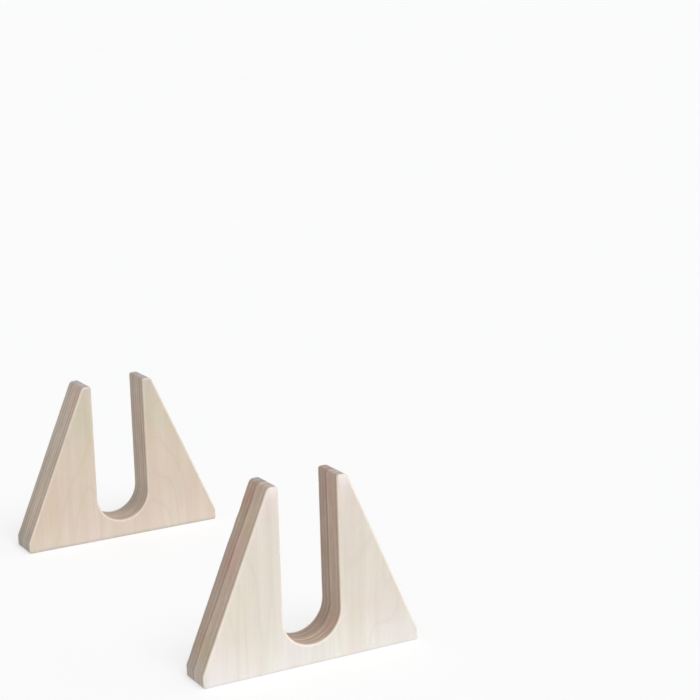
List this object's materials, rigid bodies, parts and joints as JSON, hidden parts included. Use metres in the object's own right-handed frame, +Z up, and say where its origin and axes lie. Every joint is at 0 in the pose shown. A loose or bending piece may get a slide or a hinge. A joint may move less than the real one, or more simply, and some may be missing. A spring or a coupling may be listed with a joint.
{
  "type": "wooden laptop stand",
  "caption": "Laptop stand of upright tapered plywood supports, each with a deep slot, open at the top and round at the bottom, that holds a closed laptop on its edge.",
  "frame": {"origin": "on the table, midway between the supports, on the middle plane of their slots", "axes": "+Z up; +X along the slots, from the left support to the right support; +Y across the supports, from the foot nearer the viewer to the one behind the laptop"},
  "size_m": [0.225, 0.104, 0.082],
  "materials": {
    "birch_plywood": "sanded, unvarnished and matte; pale rotary-cut birch faces, tan edges with the plies showing"
  },
  "bodies": {
    "root": {"left_support": "birch_plywood", "right_support": "birch_plywood"}
  },
  "joints": []
}
